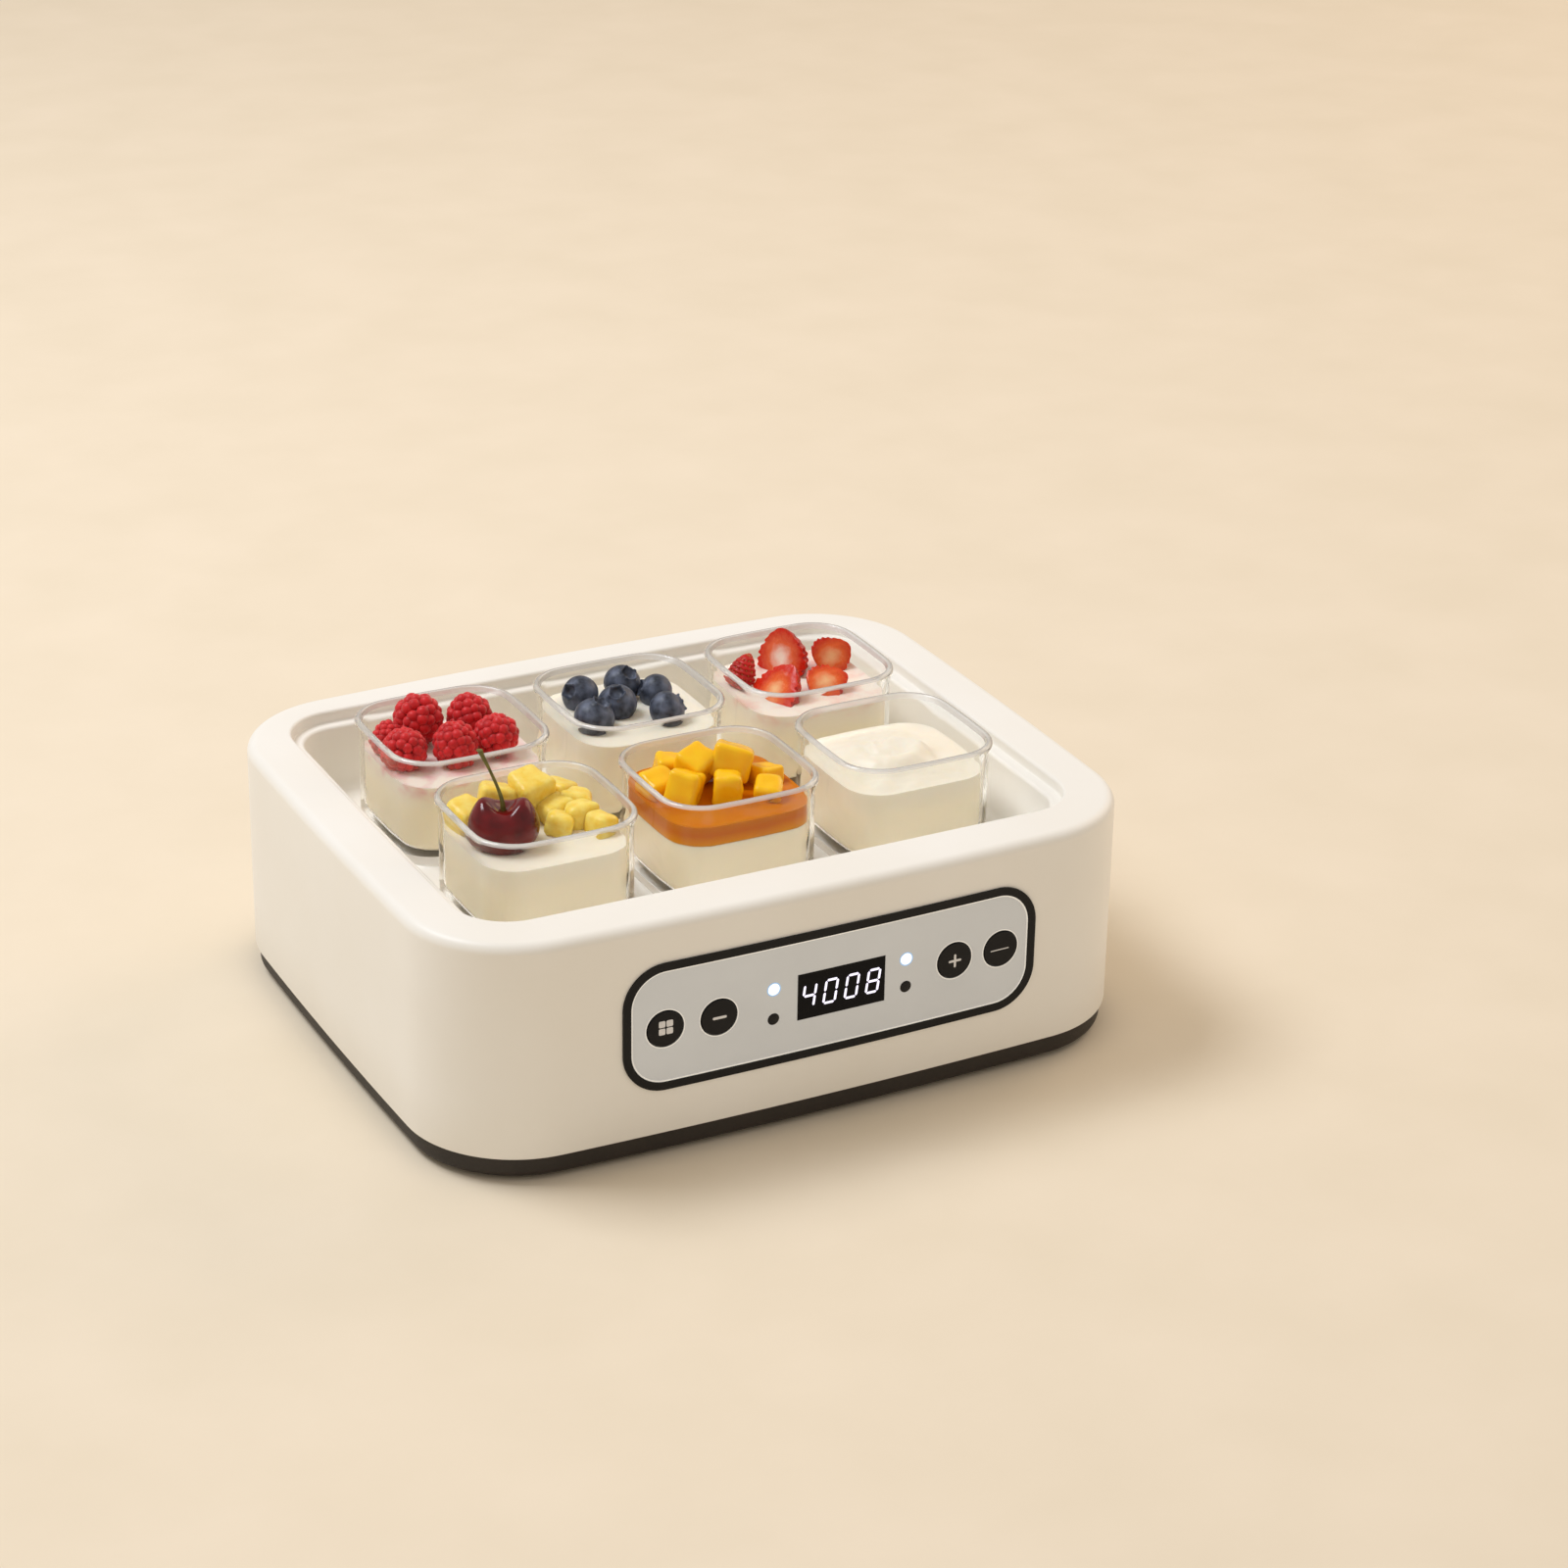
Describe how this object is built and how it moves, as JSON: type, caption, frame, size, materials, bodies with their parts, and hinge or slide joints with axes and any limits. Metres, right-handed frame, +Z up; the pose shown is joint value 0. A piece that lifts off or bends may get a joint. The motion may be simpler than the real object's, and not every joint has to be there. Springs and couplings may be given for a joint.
{
  "type": "yogurt maker",
  "caption": "Rectangular yogurt maker with a cream housing, a front control panel and an open well holding glass jars of set yogurt topped with fruit.",
  "frame": {"origin": "middle of the footprint, on the table, under the middle of the housing", "axes": "+X to the right along the front panel, +Y from the front panel to the back, +Z up"},
  "size_m": [0.28, 0.2326, 0.1296],
  "materials": {
    "cream_shell": "satin moulded cream plastic",
    "dark_base": "fine-textured dark brown plastic",
    "foot_rubber": "matt black rubber",
    "zinc_screw": "zinc-plated steel",
    "spreader_plate": "plain rolled aluminium",
    "silicone_cord": "satin silicone rubber",
    "spring_steel": "plain spring steel",
    "sensor_sleeve": "drawn steel",
    "fuse_body": "unglazed ceramic",
    "board_resin": "lacquered green board",
    "coil_tape": "yellow coil tape",
    "relay_case": "blue moulded plastic",
    "capacitor_sleeve": "dark shrink sleeve",
    "terminal_plastic": "green moulded plastic",
    "red_lead": "silicone insulation",
    "white_lead": "silicone insulation",
    "ribbon": "grey ribbon",
    "bush_rubber": "matt black rubber",
    "black_bezel": "satin black moulded plastic",
    "silver_fascia": "satin silver-grey film",
    "smoked_window": "polished smoked plastic",
    "clear_lens": "clear moulded plastic",
    "display_black": "black display block",
    "switch_case": "black moulded plastic",
    "led_resin": "clear resin",
    "chip_resin": "black moulded resin",
    "buzzer_case": "black moulded plastic",
    "black_button": "polished black plastic",
    "clear_glass": "clear pressed glass",
    "yogurt": "soft wet surface",
    "raspberry_skin": "wet berry skin",
    "blueberry_skin": "waxy berry skin",
    "strawberry_flesh": "wet fruit",
    "pineapple_flesh": "wet fruit",
    "cherry_skin": "glossy dark skin",
    "stalk": "dry green stalk",
    "mango_sauce": "wet sauce",
    "mango_flesh": "wet fruit"
  },
  "bodies": {
    "yogurt_maker": {"housing": "cream_shell", "base_pan": "dark_base", "rubber_feet": "foot_rubber", "base_screws": "zinc_screw", "heat_spreader": "spreader_plate", "spreader_screws": "zinc_screw", "heating_cord": "silicone_cord", "cord_clips": "spring_steel", "temperature_sensor": "sensor_sleeve", "sensor_clip": "spring_steel", "thermal_fuse": "fuse_body", "fuse_clip": "spring_steel", "power_board": "board_resin", "board_screws": "zinc_screw", "transformer": "coil_tape", "relay": "relay_case", "capacitor": "capacitor_sleeve", "terminal_block": "terminal_plastic", "heater_leads": "red_lead", "sensor_leads": "white_lead", "ribbon_cable": "ribbon", "cord_bush": "bush_rubber", "panel_bezel": "black_bezel", "fascia": "silver_fascia", "display_window": "smoked_window", "indicator_lenses": "clear_lens", "control_board": "board_resin", "control_screws": "zinc_screw", "display_module": "display_black", "tact_switches": "switch_case", "indicator_leds": "led_resin", "control_chip": "chip_resin", "buzzer": "buzzer_case"},
    "filled_jar_back_left": {"jar_back_left": "clear_glass", "yogurt_back_left": "yogurt", "raspberries": "raspberry_skin"},
    "filled_jar_back_middle": {"jar_back_middle": "clear_glass", "yogurt_back_middle": "yogurt", "blueberries": "blueberry_skin"},
    "filled_jar_back_right": {"jar_back_right": "clear_glass", "yogurt_back_right": "yogurt", "strawberries": "strawberry_flesh"},
    "filled_jar_front_left": {"jar_front_left": "clear_glass", "yogurt_front_left": "yogurt", "pineapple_chunks": "pineapple_flesh", "cherry": "cherry_skin", "cherry_stem": "stalk"},
    "filled_jar_front_middle": {"jar_front_middle": "clear_glass", "yogurt_front_middle": "yogurt", "mango_sauce": "mango_sauce", "mango_cubes": "mango_flesh"},
    "filled_jar_front_right": {"jar_front_right": "clear_glass", "yogurt_front_right": "yogurt"},
    "function_button": {"function_button": "black_button"},
    "minus_button": {"minus_button": "black_button"},
    "plus_button": {"plus_button": "black_button"},
    "confirm_button": {"confirm_button": "black_button"}
  },
  "joints": [
    {"name": "lift_jar_back_left", "type": "slide", "parent": "yogurt_maker", "child": "filled_jar_back_left", "axis": [0, 0, 1], "range_m": [0, 0.08]},
    {"name": "lift_jar_back_middle", "type": "slide", "parent": "yogurt_maker", "child": "filled_jar_back_middle", "axis": [0, 0, 1], "range_m": [0, 0.08]},
    {"name": "lift_jar_back_right", "type": "slide", "parent": "yogurt_maker", "child": "filled_jar_back_right", "axis": [0, 0, 1], "range_m": [0, 0.08]},
    {"name": "lift_jar_front_left", "type": "slide", "parent": "yogurt_maker", "child": "filled_jar_front_left", "axis": [0, 0, 1], "range_m": [0, 0.08]},
    {"name": "lift_jar_front_middle", "type": "slide", "parent": "yogurt_maker", "child": "filled_jar_front_middle", "axis": [0, 0, 1], "range_m": [0, 0.08]},
    {"name": "lift_jar_front_right", "type": "slide", "parent": "yogurt_maker", "child": "filled_jar_front_right", "axis": [0, 0, 1], "range_m": [0, 0.08]},
    {"name": "press_function_button", "type": "slide", "parent": "yogurt_maker", "child": "function_button", "axis": [0, 1, 0], "range_m": [0, 0.0005], "stiffness_N_per_m": 1500, "springref_m": -0.0003},
    {"name": "press_minus_button", "type": "slide", "parent": "yogurt_maker", "child": "minus_button", "axis": [0, 1, 0], "range_m": [0, 0.0005], "stiffness_N_per_m": 1500, "springref_m": -0.0003},
    {"name": "press_plus_button", "type": "slide", "parent": "yogurt_maker", "child": "plus_button", "axis": [0, 1, 0], "range_m": [0, 0.0005], "stiffness_N_per_m": 1500, "springref_m": -0.0003},
    {"name": "press_confirm_button", "type": "slide", "parent": "yogurt_maker", "child": "confirm_button", "axis": [0, 1, 0], "range_m": [0, 0.0005], "stiffness_N_per_m": 1500, "springref_m": -0.0003}
  ]
}
